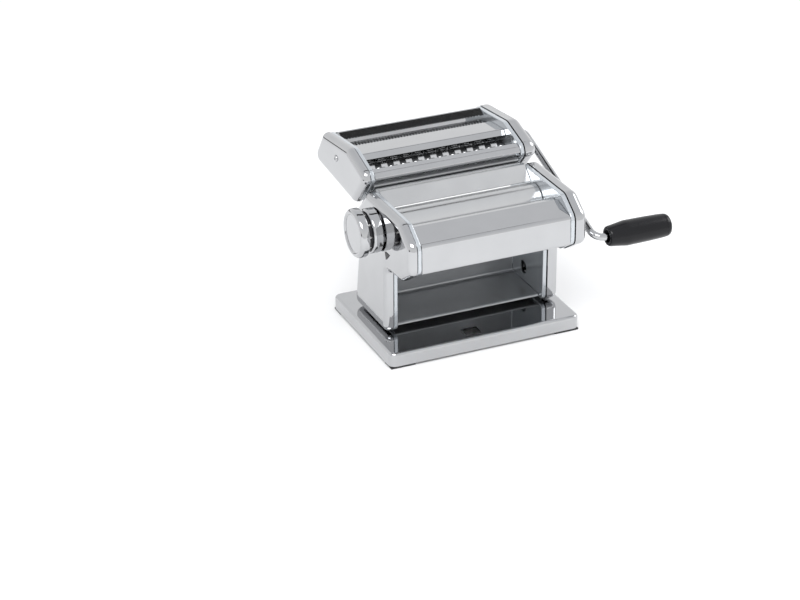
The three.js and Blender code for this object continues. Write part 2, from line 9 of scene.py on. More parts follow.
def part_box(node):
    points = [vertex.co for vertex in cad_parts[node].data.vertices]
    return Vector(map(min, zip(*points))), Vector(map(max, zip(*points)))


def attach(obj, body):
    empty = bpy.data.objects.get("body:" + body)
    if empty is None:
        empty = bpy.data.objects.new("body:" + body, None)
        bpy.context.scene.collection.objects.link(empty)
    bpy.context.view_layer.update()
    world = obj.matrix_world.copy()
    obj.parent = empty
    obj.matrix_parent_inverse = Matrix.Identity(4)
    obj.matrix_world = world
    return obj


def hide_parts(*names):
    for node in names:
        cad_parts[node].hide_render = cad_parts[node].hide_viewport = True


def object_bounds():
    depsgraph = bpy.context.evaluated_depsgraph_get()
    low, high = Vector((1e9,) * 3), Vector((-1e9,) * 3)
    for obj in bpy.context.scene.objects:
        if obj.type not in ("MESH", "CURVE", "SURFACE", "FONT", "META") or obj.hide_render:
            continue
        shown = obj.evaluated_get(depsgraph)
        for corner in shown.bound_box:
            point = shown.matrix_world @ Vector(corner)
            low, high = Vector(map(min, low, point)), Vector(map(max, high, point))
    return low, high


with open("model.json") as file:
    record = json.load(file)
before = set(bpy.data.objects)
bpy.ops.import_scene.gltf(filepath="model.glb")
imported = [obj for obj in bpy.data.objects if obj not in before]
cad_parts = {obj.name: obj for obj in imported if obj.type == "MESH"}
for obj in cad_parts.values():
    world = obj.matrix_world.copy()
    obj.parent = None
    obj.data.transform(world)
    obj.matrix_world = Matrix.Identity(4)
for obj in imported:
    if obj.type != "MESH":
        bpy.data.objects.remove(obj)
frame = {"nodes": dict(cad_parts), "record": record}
cad_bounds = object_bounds()
record = frame["record"]
body_of_node = {node: body for body, nodes in record["behaviour"]["bodies"].items() for node in nodes}
slot_of_node = {entry["node"]: entry["material_slot"] for entry in record["subparts"]}

# ---- base: a drawn steel tray, chromed, standing on four rubber pads ----
# The base is one sheet drawn into a shallow tray with rounded corners and a rolled top edge.
# The machine is set out from it: x from its middle, y from its front edge, z from its top face.
base_low, base_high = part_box("base_plate")
ORIGIN = Vector(((base_low.x + base_high.x) / 2, base_low.y, base_high.z))


def at(x, y, z):
    return ORIGIN + Vector((x, y, z)) / 1000


class Wire:
    """A shader socket that adds maths nodes when it is used in an expression."""

    def __init__(self, tree, socket):
        self.tree = tree
        self.socket = socket

    def node(self, kind, settings=None, out=0, **values):
        made = self.tree.nodes.new(kind)
        for key, value in (settings or {}).items():
            setattr(made, key, value)
        for key, value in values.items():
            by_number = key[1:].isdigit()
            socket = made.inputs[int(key[1:]) if by_number else key.replace("_", " ")]
            if isinstance(value, Wire):
                self.tree.links.new(value.socket, socket)
            else:
                socket.default_value = value
        return Wire(self.tree, made.outputs[out])

    def maths(self, operation, a, b):
        return self.node("ShaderNodeMath", {"operation": operation}, i0=a, i1=b)

    def __add__(self, other):
        return self.maths("ADD", self, other)

    def __mul__(self, other):
        return self.maths("MULTIPLY", self, other)

    def __rsub__(self, other):
        return self.maths("SUBTRACT", other, self)

    __radd__ = __add__
    __rmul__ = __mul__

    def blend(self, low, high):
        """A colour between two, by this mask."""
        return self.node(
            "ShaderNodeMix", {"data_type": "RGBA"}, out=2, i0=self, i6=(*low, 1), i7=(*high, 1)
        )


def finish(name, low, high, metallic, rough, vary, stretch, grain, relief, specular=0.5):
    """A surface: two near colours mixed by a cloudy mask, with fine grain in gloss and relief."""
    material = bpy.data.materials.new(name)
    material.use_nodes = True
    tree = material.node_tree
    shader = tree.nodes["Principled BSDF"]
    shader.inputs["Specular IOR Level"].default_value = specular
    shader.inputs["Metallic"].default_value = metallic
    start = Wire(tree, None)
    place = start.node("ShaderNodeTexCoord", out=3)
    along = start.node("ShaderNodeMapping", Vector=place, Scale=stretch)
    clouds = start.node("ShaderNodeTexNoise", Vector=place, Scale=38.0, Detail=4.0)
    fine = start.node("ShaderNodeTexNoise", Vector=along, Scale=grain, Detail=3.0)
    roughness = clouds * vary + fine * (vary / 2) + (rough - 0.75 * vary)
    bump = start.node("ShaderNodeBump", Strength=relief, Distance=0.00002, Height=fine)
    tree.links.new(clouds.blend(low, high).socket, shader.inputs["Base Color"])
    tree.links.new(roughness.socket, shader.inputs["Roughness"])
    tree.links.new(bump.socket, shader.inputs["Normal"])
    return material


chrome = finish(
    "bright chrome", (0.47, 0.475, 0.485), (0.53, 0.535, 0.545),
    metallic=1.0, rough=0.07, vary=0.03, stretch=(1, 1, 1), grain=900.0, relief=0.05,
)


def smooth(mesh, angle=28):
    """Smooth shading, with edges sharper than the angle kept sharp."""
    mesh.polygons.foreach_set("use_smooth", [True] * len(mesh.polygons))
    mesh.set_sharp_from_angle(angle=math.radians(angle))
    return mesh


def skin(name, rings):
    """A closed surface through rings of as many points each; the first and last are capped."""
    bm = bmesh.new()
    loops = [[bm.verts.new(at(*point)) for point in ring] for ring in rings]
    for a, b in zip(loops, loops[1:]):
        for i in range(len(a)):
            j = (i + 1) % len(a)
            bm.faces.new((a[i], a[j], b[j], b[i]))
    bm.faces.new(loops[0])
    bm.faces.new(loops[-1])
    bmesh.ops.recalc_face_normals(bm, faces=bm.faces)
    mesh = bpy.data.meshes.new(name)
    bm.to_mesh(mesh)
    bm.free()
    return smooth(mesh)


def fit(name, mesh, material, *nodes):
    """A finished piece: it stands for its nodes, and moves with their body."""
    mesh.materials.clear()
    mesh.materials.append(material)
    piece = bpy.data.objects.new(name.replace(" ", "-"), mesh)
    bpy.context.collection.objects.link(piece)
    even = piece.modifiers.new("even shading", "WEIGHTED_NORMAL")
    even.keep_sharp = True
    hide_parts(*nodes)
    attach(piece, body_of_node[nodes[0]])
    return piece


def plain(obj):
    """The evaluated object as a plain mesh; the object is removed."""
    bpy.context.view_layer.update()
    worked_out = obj.evaluated_get(bpy.context.evaluated_depsgraph_get())
    result = bpy.data.meshes.new_from_object(worked_out)
    bpy.data.objects.remove(obj)
    return result


def cut(mesh, *tools):
    """A mesh with tools cut out of it."""
    blank = bpy.data.objects.new("blank", mesh)
    bpy.context.collection.objects.link(blank)
    cutters = []
    for tool in tools:
        cutter = bpy.data.objects.new("cutter", tool)
        bpy.context.collection.objects.link(cutter)
        cutters.append(cutter)
        step = blank.modifiers.new("cut", "BOOLEAN")
        step.solver = "EXACT"
        step.object = cutter
    result = plain(blank)
    for cutter in cutters:
        bpy.data.objects.remove(cutter)
    return smooth(result)


def rounded(corners, steps=10):
    """Corners given with a radius each, as points with arcs."""
    points = []
    for i, (y, z, radius) in enumerate(corners):
        corner = Vector((y, z))
        if not radius:
            points.append(corner)
            continue
        back = (Vector(corners[i - 1][:2]) - corner).normalized()
        ahead = (Vector(corners[(i + 1) % len(corners)][:2]) - corner).normalized()
        half = math.acos(back.dot(ahead)) / 2
        centre = corner + (back + ahead).normalized() * radius / math.sin(half)
        start = corner + back * radius / math.tan(half) - centre
        end = corner + ahead * radius / math.tan(half) - centre
        sweep = math.atan2(start.x * end.y - start.y * end.x, start.dot(end))
        for k in range(steps + 1):
            turn = sweep * k / steps
            swung_y = start.x * math.cos(turn) - start.y * math.sin(turn)
            swung_z = start.x * math.sin(turn) + start.y * math.cos(turn)
            points.append(centre + Vector((swung_y, swung_z)))
    return points


def inset(outline, distance):
    """The outline moved inwards."""
    area = sum(a.x * b.y - b.x * a.y for a, b in zip(outline, outline[1:] + outline[:1]))
    result = []
    for i, point in enumerate(outline):
        back = (point - outline[i - 1]).normalized()
        ahead = (outline[(i + 1) % len(outline)] - point).normalized()
        tangent = (back + ahead).normalized()
        normal = Vector((-tangent.y, tangent.x)) * math.copysign(1, area)
        result.append(point + normal * distance / tangent.dot(ahead))
    return result


BASE = {"half": 100, "depth": 142.6, "height": 14, "corner": 7, "edge": 3, "wall": 1.8}
SLOT = ((-18, 7, -20), (-2, 21, 20))


def plan(distance):
    """The base's outline seen from above, inset."""
    half, depth = BASE["half"] - distance, BASE["depth"]
    radius = BASE["corner"] - distance
    corners = [(-half, distance), (half, distance), (half, depth - distance), (-half, depth - distance)]
    return rounded([(x, y, radius) for x, y in corners], 8)


def level(distance, z):
    """That outline as a ring at one height."""
    return [(p.x, p.y, z) for p in plan(distance)]


def box_mesh(name, low, high):
    """A block between two corners."""
    square = [(low[0], low[1]), (high[0], low[1]), (high[0], high[1]), (low[0], high[1])]
    return skin(name, [[(x, y, z) for x, y in square] for z in (low[2], high[2])])


edge_turns = [k * math.pi / 16 for k in range(9)]
edge_rings = [
    level(BASE["edge"] * (1 - math.cos(turn)), BASE["edge"] * (math.sin(turn) - 1))
    for turn in edge_turns
]
INNER_EDGE = BASE["edge"] - BASE["wall"]
TOP_WALL = 1.5
inner_rings = [
    level(
        BASE["wall"] + INNER_EDGE * (1 - math.cos(turn)),
        (BASE["edge"] - TOP_WALL) * math.sin(turn) - BASE["edge"],
    )
    for turn in reversed(edge_turns)
]
tray = skin(
    "base",
    [
        *reversed(edge_rings),
        level(0, 0.4 - BASE["height"]),
        level(0.4, -BASE["height"]),
        level(BASE["wall"], -BASE["height"]),
        *reversed(inner_rings),
    ],
)
fit("base", cut(tray, box_mesh("slot", *SLOT)), chrome, "base_plate")

rubber = finish(
    "pad rubber", (0.018, 0.018, 0.02), (0.03, 0.03, 0.032),
    metallic=0.0, rough=0.75, vary=0.15, stretch=(1, 1, 1), grain=1400.0, relief=0.6,
)
for node in ("foot_front_left", "foot_front_right", "foot_rear_left", "foot_rear_right"):
    pad = frame["nodes"][node]
    pad.data.materials.clear()
    pad.data.materials.append(rubber)

# ---- side plates: zinc plated steel, each with a flange turned out round its edge ----
# A plate carries the roller bearings and stands on the base. The cutter head has a smaller pair.
# A round window is cut through each leg.
BODY_OUTLINE = [
    (116, 1.8, 8), (37.5, 1.8, 7), (36.5, 70, 5), (4, 72.5, 12), (-19.5, 88, 9), (-19.5, 116, 12),
    (3.5, 131.5, 12), (84, 131, 8), (113, 101, 9), (107, 56, 20),
]
HEAD_OUTLINE = [
    (206, 115, 9), (114, 107, 8), (86.8, 137.5, 7.5), (91, 147.5, 9), (128, 158.5, 14), (192, 151.5, 8),
    (211, 125, 9),
]
WEB = {"left": -75.5, "right": 78}
RIM = {"left": -79.5, "right": 82}
OPEN = {"left": -80.4, "right": 82.9}
FACE = {"left": -88.6, "right": 95.4}
FRONT_AXIS, REAR_AXIS = (16, 103.5), (55.8, 103.5)
WIDE_FRONT, WIDE_REAR = (111, 129.5), (130.6, 129.5)
FINE_FRONT, FINE_REAR = (154, 134), (173.6, 134)
WINDOW = (80, 21)

zinc = finish(
    "bright zinc", (0.52, 0.55, 0.58), (0.62, 0.65, 0.68),
    metallic=0.75, rough=0.2, vary=0.08, stretch=(1, 6, 1), grain=500.0, relief=0.15,
)


def flat_ring(outline, x):
    """An outline of y and z, stood up at one x."""
    return [(x, p.x, p.y) for p in outline]


def shaft(name, axis, radius, x0, x1, segments=48):
    """A round bar along x."""
    y, z = axis
    turns = [k * 2 * math.pi / segments for k in range(segments)]
    circle = [(y + radius * math.cos(t), z + radius * math.sin(t)) for t in turns]
    return skin(name, [[(x, *p) for p in circle] for x in (x0, x1)])


def side_plate(name, outline, side, holes, *nodes):
    """A pressed plate: its web, the rolled bend and the flange round its edge."""
    away = -1 if side == "left" else 1
    web, rim = WEB[side], RIM[side]
    edge = inset(rounded(outline), 0.8)
    rolled = [
        flat_ring(inset(edge, 1.2 * (1 - math.cos(t))), web + away * 1.2 * (1 - math.sin(t)))
        for t in (k * math.pi / 8 for k in range(4, -1, -1))
    ]
    rings = [
        *rolled,
        flat_ring(edge, rim - away * 0.3),
        flat_ring(inset(edge, 0.3), rim),
        flat_ring(inset(edge, 1.3), rim),
        flat_ring(inset(edge, 1.6), rim - away * 0.3),
        flat_ring(inset(edge, 1.6), web + away * 1.6),
    ]
    x0, x1 = min(web, rim) - 1, max(web, rim) + 1
    tools = [shaft("bore", axis, radius, x0, x1) for axis, radius in holes]
    return fit(name, cut(skin(name, rings), *tools), zinc, *nodes)


body_holes = [(FRONT_AXIS, 8.3), (WINDOW, 7)]
head_holes = [(axis, 4.1) for axis in (WIDE_FRONT, WIDE_REAR, FINE_FRONT, FINE_REAR)]
CARRIER_SLOT = [(42.3, 93.2), (65.1, 93.2), (65.1, 113.8), (42.3, 113.8)]
for side in ("left", "right"):
    plate = side_plate(f"{side} side plate", BODY_OUTLINE, side, body_holes, f"{side}_side_plate")
    ends = (min(WEB[side], RIM[side]) - 1, max(WEB[side], RIM[side]) + 1)
    opening = skin("opening", [[(x, y, z) for y, z in CARRIER_SLOT] for x in ends])
    plate.data = cut(plate.data, opening)
    side_plate(f"head {side} plate", HEAD_OUTLINE, side, head_holes, f"head_{side}_plate")

# ---- side covers: deep drawn and chromed, with a broad rounded edge ----
# A cover hides the gears or the dial's cam, and meets the plate's flange with a dark seam.
# The rounded edge runs out from the seam into a flat face.
ROUND = 6.8
WALL = 1.2


def side_cover(name, outline, side, holes, node):
    """A drawn cover: an outside and an inside skin joined at the open rim."""
    away = -1 if side == "left" else 1
    rim, face = OPEN[side], FACE[side]
    edge = rounded(outline)
    turns = [k * math.pi / 20 for k in range(11)]
    outside = [
        flat_ring(inset(edge, ROUND * (1 - math.cos(t))), face - away * ROUND * (1 - math.sin(t)))
        for t in turns
    ]
    inside = [
        flat_ring(
            inset(edge, WALL + (ROUND - WALL) * (1 - math.cos(t))),
            face - away * (WALL + (ROUND - WALL) * (1 - math.sin(t))),
        )
        for t in turns
    ]
    rings = [
        *reversed(outside),
        flat_ring(edge, rim + away * 0.3),
        flat_ring(inset(edge, 0.3), rim),
        flat_ring(inset(edge, WALL), rim),
        *inside,
    ]
    x0, x1 = min(rim, face) - 1, max(rim, face) + 1
    tools = [shaft("bore", axis, radius, x0, x1) for axis, radius in holes]
    mesh = skin(name, rings)
    return fit(name, cut(mesh, *tools) if tools else mesh, chrome, node)


KNOB_AXIS = (57.5, 104)
side_cover("left cover", BODY_OUTLINE, "left", [(KNOB_AXIS, 6)], "left_cover")
side_cover("right cover", BODY_OUTLINE, "right", [(FRONT_AXIS, 6.8)], "right_cover")
left_head = side_cover("head left cover", HEAD_OUTLINE, "left", [], "head_left_cover")
screw_profile = [
    (-88.2, 3.4), (-88.9, 3.4), (-89.5, 3.1), (-89.9, 2.4), (-90, 1.6), (-89.5, 1.5), (-89.4, 0.4),
]
with_screw = bmesh.new()
with_screw.from_mesh(left_head.data)
SCREW = (155, 138.5)
turns = [k * math.pi / 16 for k in range(32)]
head = skin(
    "screw",
    [
        [(x, SCREW[0] + r * math.cos(t), SCREW[1] + r * math.sin(t)) for t in turns]
        for x, r in screw_profile
    ],
)
with_screw.from_mesh(head)
with_screw.to_mesh(left_head.data)
with_screw.free()
smooth(left_head.data)
sockets = [(WIDE_REAR, 6.8), (FINE_FRONT, 6.8)]
side_cover("head right cover", HEAD_OUTLINE, "right", sockets, "head_right_cover")

# ---- bent sheets: covers, guards, hopper plate, tray and combs ----
# Each is one strip of steel with rounded bends, held between the side plates.
# The ones that are seen are chromed, satin or smooth rolled; the hidden ones are left plain.
satin = finish(
    "satin steel", (0.54, 0.545, 0.55), (0.62, 0.625, 0.63),
    metallic=1.0, rough=0.24, vary=0.08, stretch=(0.05, 9, 9), grain=420.0, relief=0.25,
)
dull_steel = finish(
    "rolled steel", (0.36, 0.37, 0.38), (0.42, 0.43, 0.44),
    metallic=0.6, rough=0.2, vary=0.06, stretch=(0.05, 9, 9), grain=300.0, relief=0.1,
)
plain_steel = finish(
    "plain steel", (0.34, 0.35, 0.36), (0.46, 0.47, 0.48),
    metallic=1.0, rough=0.34, vary=0.14, stretch=(1, 1, 1), grain=700.0, relief=0.3,
)


def bent(line, steps=8):
    """An open line of corners (y, z, radius) as points with arcs."""
    return rounded(line, steps)


def offset_line(points, distance):
    """The open line moved to its left."""
    ways = [(b - a).normalized() for a, b in zip(points, points[1:])]
    moved = []
    for i, point in enumerate(points):
        before, after = ways[max(i - 1, 0)], ways[min(i, len(ways) - 1)]
        tangent = (before + after).normalized()
        moved.append(point + Vector((-tangent.y, tangent.x)) * distance / tangent.dot(after))
    return moved


SHEET = (-75.2, 77.7)


def bent_sheet(name, line, thickness, material, node):
    """A strip of sheet between the side plates, its cut ends slightly eased."""
    x0, x1 = SHEET
    points = bent(line)
    half = thickness / 2
    rim = min(0.25, half / 2)
    full = offset_line(points, half) + offset_line(points, -half)[::-1]
    slim = offset_line(points, half - rim) + offset_line(points, rim - half)[::-1]
    rings = [
        flat_ring(slim, x0),
        flat_ring(full, x0 + rim),
        flat_ring(full, x1 - rim),
        flat_ring(slim, x1),
    ]
    return fit(name, skin(name, rings), material, node)


bent_sheet(
    "front cover",
    [(10.3, 122.4, 0), (-17.4, 115.5, 3.2), (-18.3, 87, 2.4), (-11, 86.4, 0)],
    1.2, chrome, "front_cover",
)
bent_sheet(
    "hopper plate",
    [(67, 118.8, 0), (79.6, 131, 1.5), (83, 131, 0)],
    1.2, satin, "hopper_plate",
)
bent_sheet(
    "dough tray",
    [(104, 96, 0), (104, 6.2, 3.4), (46.6, 6.2, 1.6), (45.5, 4.6, 0)],
    1.2, dull_steel, "dough_tray",
)
bent_sheet(
    "head rail",
    [(85.2, 125.4, 0), (89.9, 129.8, 1.2), (109.4, 109.6, 1.2), (104.6, 104.6, 0)],
    1.2, plain_steel, "head_rail",
)
bent_sheet(
    "head rear guard",
    [(172.4, 148.8, 0), (181.6, 153, 2.5), (188, 150.4, 3), (204.6, 127.2, 4), (202.4, 119.5, 0)],
    1.2, chrome, "head_rear_guard",
)
bent_sheet(
    "head divider",
    [(123.4, 145.4, 0), (127.6, 150, 2), (155.4, 147.4, 0)],
    1.2, chrome, "head_divider",
)
bent_sheet(
    "head front guard",
    [(98.6, 146, 0), (92.4, 144.4, 2), (89.6, 140.6, 1.5), (90.2, 137.6, 0)],
    1.2, chrome, "head_front_guard",
)
bent_sheet(
    "head hook plate",
    [(97.6, 135.6, 0), (92.6, 130.4, 1.6), (112.6, 108.6, 1.6), (117.6, 110.8, 0)],
    1.2, plain_steel, "head_hook_plate",
)
blades = {
    "front scraper": ((22.4, 85.6, 0), (12, 79.5, 0)),
    "rear scraper": ((49.4, 85.6, 0), (59.8, 79.5, 0)),
    "wide comb front": ((108.6, 114.4, 0), (110.6, 118, 0)),
    "wide comb rear": ((133, 114.4, 0), (131, 118, 0)),
    "fine comb front": ((151.6, 118.6, 0), (153.6, 122.4, 0)),
    "fine comb rear": ((176, 118.6, 0), (174, 122.4, 0)),
}
for name, line in blades.items():
    bent_sheet(name, list(line), 1, plain_steel, name.replace(" ", "_"))

# ---- smooth rollers: turned aluminium, bright along their length ----
# Each roller has a small chamfer and a thinner axle at both ends, which runs in nylon.
aluminium = finish(
    "turned aluminium", (0.58, 0.585, 0.59), (0.66, 0.665, 0.67),
    metallic=1.0, rough=0.2, vary=0.06, stretch=(12, 1, 1), grain=500.0, relief=0.2,
)


def turned(name, axis, profile, segments=96):
    """A closed turned piece from pairs of x and radius."""
    y, z = axis
    turns = [k * 2 * math.pi / segments for k in range(segments)]
    return skin(
        name, [[(x, y + r * math.cos(t), z + r * math.sin(t)) for t in turns] for x, r in profile]
    )


def roller_profile(radius, axle, right_end, chamfer=0.8):
    """Pairs of x and radius for a roller with an axle at both ends."""
    left, right, left_end = -75, 77.5, -79.2
    half_way = radius - chamfer / 3
    return [
        (left_end, axle),
        (left, axle),
        (left, radius - chamfer),
        (left + chamfer / 3, half_way),
        (left + chamfer, radius),
        (right - chamfer, radius),
        (right - chamfer / 3, half_way),
        (right, radius - chamfer),
        (right, axle),
        (right_end, axle),
    ]


ROLLER_RADIUS, AXLE_RADIUS = 17.5, 5
for side, axis, axle_end in (("front", FRONT_AXIS, 84), ("rear", REAR_AXIS, 91.4)):
    profile = roller_profile(ROLLER_RADIUS, AXLE_RADIUS, axle_end)
    fit(f"{side} roller", turned(f"{side} roller", axis, profile), aluminium, f"{side}_roller")

# ---- cutter rollers: steel discs on a core, the rings of one between the rings of the other ----
# The wide pair has broad rings that cut ribbons; the fine pair has narrow ones that cut strands.
# The rings repeat along each core at one pitch.


def ring_tree(material):
    """Rings on a line along x: a node group with named sizes."""
    tree = bpy.data.node_groups.new("rings on a core", "GeometryNodeTree")
    face = tree.interface
    face.new_socket("Geometry", in_out="INPUT", socket_type="NodeSocketGeometry")
    face.new_socket("Count", in_out="INPUT", socket_type="NodeSocketInt")
    for name in ("Radius", "Width"):
        face.new_socket(name, in_out="INPUT", socket_type="NodeSocketFloat")
    for name in ("Start", "Pitch"):
        face.new_socket(name, in_out="INPUT", socket_type="NodeSocketVector")
    face.new_socket("Geometry", in_out="OUTPUT", socket_type="NodeSocketGeometry")
    new, link = tree.nodes.new, tree.links.new
    given, result = new("NodeGroupInput"), new("NodeGroupOutput")
    line = new("GeometryNodeMeshLine")
    disc = new("GeometryNodeMeshCylinder")
    turn = new("GeometryNodeTransform")
    place = new("GeometryNodeInstanceOnPoints")
    real = new("GeometryNodeRealizeInstances")
    paint = new("GeometryNodeSetMaterial")
    disc.inputs["Vertices"].default_value = 56
    turn.inputs["Rotation"].default_value = (0, math.pi / 2, 0)
    paint.inputs["Material"].default_value = material
    link(given.outputs["Count"], line.inputs["Count"])
    link(given.outputs["Start"], line.inputs["Start Location"])
    link(given.outputs["Pitch"], line.inputs["Offset"])
    link(given.outputs["Radius"], disc.inputs["Radius"])
    link(given.outputs["Width"], disc.inputs["Depth"])
    link(disc.outputs["Mesh"], turn.inputs["Geometry"])
    link(line.outputs["Mesh"], place.inputs["Points"])
    link(turn.outputs["Geometry"], place.inputs["Instance"])
    link(place.outputs["Instances"], real.inputs["Geometry"])
    link(real.outputs["Geometry"], paint.inputs["Geometry"])
    link(paint.outputs["Geometry"], result.inputs[0])
    return tree


rings_on_core = ring_tree(aluminium)
# The core is painted near black. This is painted shade for the deep grooves between the rings, not a
# darker steel.
core_painted_shade = finish(
    "core steel with painted shade", (0.05, 0.052, 0.055), (0.09, 0.092, 0.095),
    metallic=0.8, rough=0.4, vary=0.1, stretch=(9, 1, 1), grain=500.0, relief=0.2,
)


def ringed(name, axis, right_end, first, count, core, radius, width, pitch):
    """A cutter roller: rings of one pitch on a turned core; first is the first ring's near face."""
    holder = bpy.data.objects.new("rings", bpy.data.meshes.new("rings"))
    bpy.context.collection.objects.link(holder)
    step = holder.modifiers.new("rings", "NODES")
    step.node_group = rings_on_core
    sizes = {
        "Count": count,
        "Radius": radius / 1000,
        "Width": width / 1000,
        "Start": at(first + width / 2, *axis),
        "Pitch": (pitch / 1000, 0, 0),
    }
    for item in rings_on_core.interface.items_tree:
        if item.in_out == "INPUT" and item.name in sizes:
            step[item.identifier] = sizes[item.name]
    rings = plain(holder)
    bm = bmesh.new()
    bm.from_mesh(rings)
    ring_faces = len(bm.faces)
    bm.from_mesh(turned(name, axis, roller_profile(core, CUTTER_AXLE, right_end), 48))
    bm.to_mesh(rings)
    bm.free()
    piece = fit(name, smooth(rings), aluminium, name.replace(" ", "_"))
    # The core faces take the near-black material, which is painted shade between the rings.
    piece.data.materials.append(core_painted_shade)
    for index, face in enumerate(piece.data.polygons):
        face.material_index = int(index >= ring_faces)


CUTTER_AXLE = 4
LONG_AXLE, SHORT_AXLE = 90.6, 84
wide = {"core": 7.8, "radius": 10.6, "width": 6.2, "pitch": 13}
fine = {"core": 6.8, "radius": 9.6, "width": 1.3, "pitch": 3.2}
ringed("wide cutter front", WIDE_FRONT, LONG_AXLE, first=-74, count=12, **wide)
ringed("wide cutter rear", WIDE_REAR, SHORT_AXLE, first=-67.5, count=11, **wide)
ringed("fine cutter front", FINE_FRONT, SHORT_AXLE, first=-74.6, count=47, **fine)
ringed("fine cutter rear", FINE_REAR, LONG_AXLE, first=-73, count=47, **fine)

# ---- dial: chromed cap, numbered ring and drum, pulled out and turned to set the gap ----
# The cap is turned with a rounded rim round a sunk disc, and the ring carries the digits.
cap_profile = [
    (-112, 18.2), (-112.6, 18.6), (-113.2, 19.4), (-113.4, 20.2), (-113.2, 21.2), (-112.6, 22.3),
    (-111.6, 23.2), (-110.4, 23.7), (-109, 23.8), (-105.2, 23.8), (-104.6, 23.5), (-104.4, 22.8),
]
cap = cut(turned("dial cap", KNOB_AXIS, cap_profile, 128), shaft("pocket", KNOB_AXIS, 7, -109.3, -103))
fit("dial cap", cap, chrome, "knob_cap")
drum_profile = [
    (-99.5, 20.1), (-99.1, 20.7), (-98.5, 21.2), (-97.8, 21.5), (-97, 21.6), (-90.4, 21.6),
    (-90, 21.3),
]
drum = cut(
    turned("dial drum", KNOB_AXIS, drum_profile, 128),
    shaft("pocket", KNOB_AXIS, 17, -101, -97),
    shaft("recess", KNOB_AXIS, 19, -95, -89),
    shaft("bore", KNOB_AXIS, 3.3, -102, -88),
)
fit("dial drum", drum, chrome, "knob_drum")
ring_profile = [(-104.1, 18.6), (-103.8, 18.9), (-103.5, 19), (-100.2, 19), (-99.9, 18.8)]
ring = cut(turned("dial ring", KNOB_AXIS, ring_profile, 128), shaft("bore", KNOB_AXIS, 13, -106, -98))

ink = finish(
    "black enamel", (0.012, 0.012, 0.014), (0.022, 0.022, 0.025), specular=0.3,
    metallic=0.0, rough=0.34, vary=0.1, stretch=(1, 1, 1), grain=1200.0, relief=0.2,
)
fit("dial ring", ring, ink, "knob_ring")
pale_ink = finish(
    "pale enamel", (0.72, 0.72, 0.70), (0.8, 0.8, 0.78),
    metallic=0.0, rough=0.4, vary=0.1, stretch=(1, 1, 1), grain=1200.0, relief=0.2,
)
DIGIT_STEP, FIRST_DIGIT = 36, -150
DIGIT_X, DIGIT_RADIUS = -102, 18.98
digits = bmesh.new()
for number in range(10):
    letters = bpy.data.curves.new("digit", "FONT")
    letters.body = str(number)
    letters.size = 0.0042
    letters.extrude = 0.00008
    letters.align_x = "CENTER"
    letters.align_y = "CENTER"
    drawn = bpy.data.objects.new("digit", letters)
    bpy.context.collection.objects.link(drawn)
    mesh = plain(drawn)
    turn = math.radians(DIGIT_STEP * number + FIRST_DIGIT)
    out = Vector((0, math.cos(turn), math.sin(turn)))
    round_way = Vector((0, -math.sin(turn), math.cos(turn)))
    centre = at(DIGIT_X, *KNOB_AXIS) + out * DIGIT_RADIUS / 1000
    for vertex in mesh.vertices:
        x, y, z = vertex.co
        vertex.co = centre + round_way * x + Vector((-1, 0, 0)) * y + out * z
    digits.from_mesh(mesh)
bmesh.ops.remove_doubles(digits, verts=digits.verts, dist=1e-7)
bmesh.ops.recalc_face_normals(digits, faces=digits.faces)
digit_mesh = bpy.data.meshes.new("dial digits")
digits.to_mesh(digit_mesh)
digits.free()
digit_mesh.materials.clear()
digit_mesh.materials.append(pale_ink)
numbers = bpy.data.objects.new("dial-digits", digit_mesh)
bpy.context.collection.objects.link(numbers)
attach(numbers, "knob")

# ---- crank: one bent chromed rod with a black grip that spins on its end ----
# The rod's square end goes in the fine cutter's socket; its arm runs forward and down to the grip.
# The grip is moulded, narrow at the rod, widest a third of the way along, with a rounded end.
REACH, DROP, PLANE, BEND = 158.5, 53, 112, 11
ROD_RADIUS, ROD_START, ROD_END = 3.6, 96.9, 190
length = math.hypot(REACH, DROP)
arm = rounded([(ROD_START, 0, 0), (PLANE, 0, BEND), (PLANE, length, BEND), (ROD_END, length, 0)], 14)
rod_points = [
    Vector((p.x, FINE_FRONT[0] - p.y * REACH / length, FINE_FRONT[1] - p.y * DROP / length))
    for p in arm
]
flat = Vector((0, DROP / length, -REACH / length))
rod_rings = []
for i, point in enumerate(rod_points):
    before, after = rod_points[max(i - 1, 0)], rod_points[min(i + 1, len(rod_points) - 1)]
    across = (after - before).normalized().cross(flat).normalized()
    rod_rings.append(
        [tuple(point + (flat * math.cos(t) + across * math.sin(t)) * ROD_RADIUS) for t in turns]
    )
rod = skin("crank rod", rod_rings)
SHANK_HALF, SHANK_START, SHANK_END = 3.1, 84.6, 98.9
shank = box_mesh(
    "shank",
    (SHANK_START, FINE_FRONT[0] - SHANK_HALF, FINE_FRONT[1] - SHANK_HALF),
    (SHANK_END, FINE_FRONT[0] + SHANK_HALF, FINE_FRONT[1] + SHANK_HALF),
)
joined = bmesh.new()
joined.from_mesh(rod)
joined.from_mesh(shank)
joined.to_mesh(rod)
joined.free()
fit("crank rod", smooth(rod), chrome, "crank_rod")

GRIP_AXIS = (FINE_FRONT[0] - REACH, FINE_FRONT[1] - DROP)
grip_profile = [
    (124.5, 6.6), (124.5, 8.0), (124.8, 9.0), (125.6, 9.7), (127, 10.1), (132.6, 10.8), (140.6, 12.0),
    (143.6, 12.4), (147, 12.4), (166, 12.2), (179.5, 11.8), (184.8, 11.5), (185.3, 11.1),
    (185.9, 11.1), (186.4, 11.3), (188.2, 11.0), (189.7, 10.2), (190.6, 9.0), (191, 7.6),
]
black_plastic = finish(
    "black moulding", (0.004, 0.004, 0.005), (0.008, 0.008, 0.010), specular=0.28,
    metallic=0.0, rough=0.24, vary=0.08, stretch=(1, 1, 1), grain=1100.0, relief=0.25,
)
grip = cut(
    turned("grip", GRIP_AXIS, grip_profile, 96),
    shaft("bore", GRIP_AXIS, 4.1, 120, 191.1),
    shaft("mouth", GRIP_AXIS, 6.4, 120, 127.5),
)
